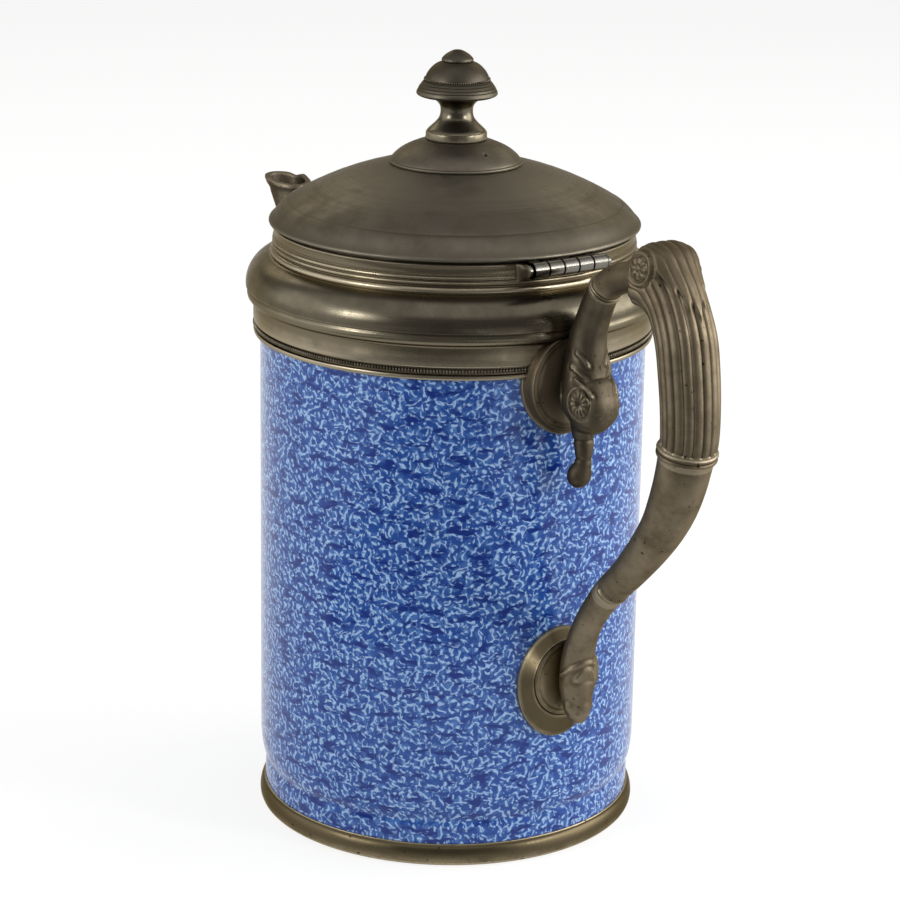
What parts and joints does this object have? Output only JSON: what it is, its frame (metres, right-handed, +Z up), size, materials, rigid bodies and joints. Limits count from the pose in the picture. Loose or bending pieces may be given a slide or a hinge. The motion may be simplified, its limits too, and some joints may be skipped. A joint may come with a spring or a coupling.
{
  "type": "coffee pot",
  "caption": "Tall cylindrical enamelled coffee pot with a pewter collar, hinged domed lid with a turned finial, fluted scroll handle and gooseneck spout.",
  "frame": {"origin": "on the pot's axis, at the level of the surface that the foot stands on", "axes": "+Z up along the pot's axis; +X towards the handle and the lid's hinge, so the spout points to -X"},
  "size_m": [0.2377, 0.1288, 0.2423],
  "materials": {
    "enamel": "glossy mottled enamel",
    "pewter": "aged satin pewter",
    "bright_metal": "worn bright metal"
  },
  "bodies": {
    "pot": {"body_wall": "enamel", "bottom_pan": "enamel", "base_band": "pewter", "collar_shoulder": "pewter", "beaded_trim": "pewter", "neck_ring": "pewter", "hinge_fixed_leaf": "bright_metal", "hinge_pin": "bright_metal", "upper_pad": "pewter", "lower_pad": "pewter", "handle_scroll": "pewter", "elbow_ring": "pewter", "handle_knee": "pewter", "handle_grip": "pewter", "grip_ring": "pewter", "handle_lower": "pewter", "handle_foot": "pewter", "handle_studs": "bright_metal", "handle_washers": "bright_metal", "handle_nuts": "bright_metal", "spout_flange": "pewter", "spout_neck": "pewter", "spout_sieve": "bright_metal"},
    "lid": {"lid_shell": "pewter", "lid_bezel": "pewter", "lid_crown": "pewter", "finial_stem": "pewter", "finial_cap": "pewter", "finial_button": "pewter", "finial_stud": "bright_metal", "finial_washer": "bright_metal", "finial_nut": "bright_metal", "hinge_lid_leaf": "bright_metal"}
  },
  "joints": [
    {"name": "lid_hinge", "type": "hinge", "parent": "pot", "child": "lid", "pos_m": [0.0594, 0, 0.187], "axis": [0, 1, 0], "range_deg": [0, 105]}
  ]
}
